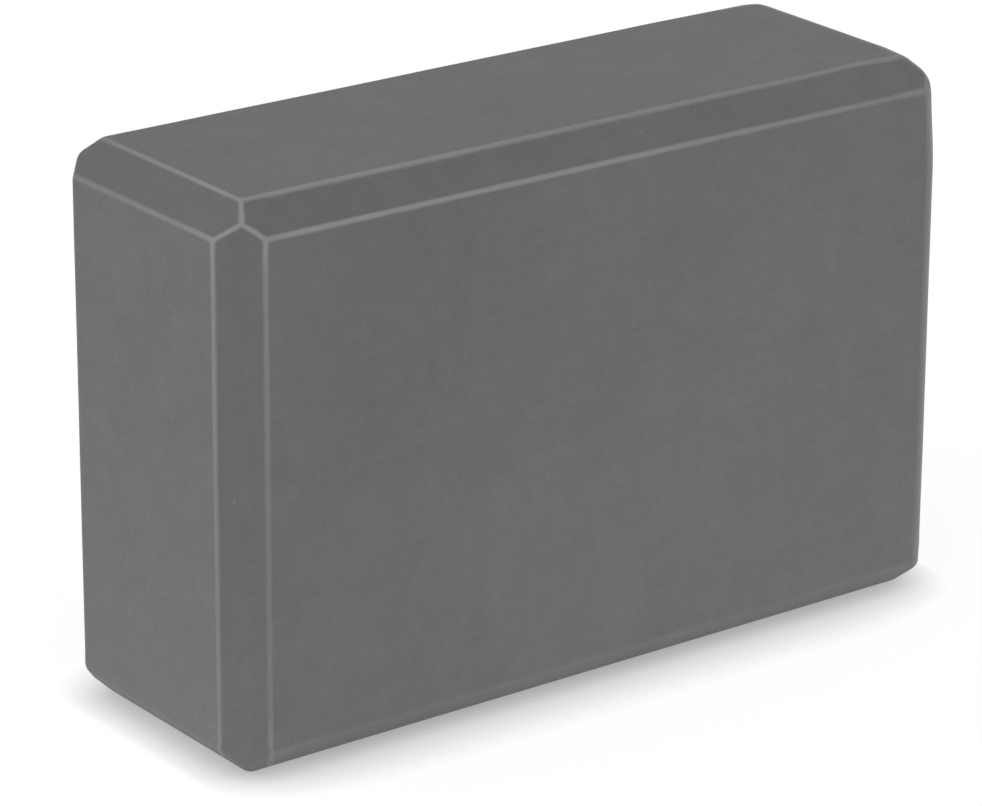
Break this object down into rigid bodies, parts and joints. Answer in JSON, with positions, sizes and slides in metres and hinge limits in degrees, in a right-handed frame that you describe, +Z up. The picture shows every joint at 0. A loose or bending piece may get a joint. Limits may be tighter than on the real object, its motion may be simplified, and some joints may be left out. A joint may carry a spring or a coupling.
{
  "type": "yoga block",
  "caption": "Rectangular foam block with bevelled edges that stands on any face, to prop a hand, foot or hip in yoga and stretching.",
  "frame": {"origin": "middle of the long narrow side that the block stands on", "axes": "+X along the length, +Y through the width from one broad face to the other, +Z up along the height"},
  "size_m": [0.23, 0.08, 0.15],
  "materials": {
    "foam": "matte"
  },
  "bodies": {
    "root": {"foam_block": "foam"}
  },
  "joints": []
}
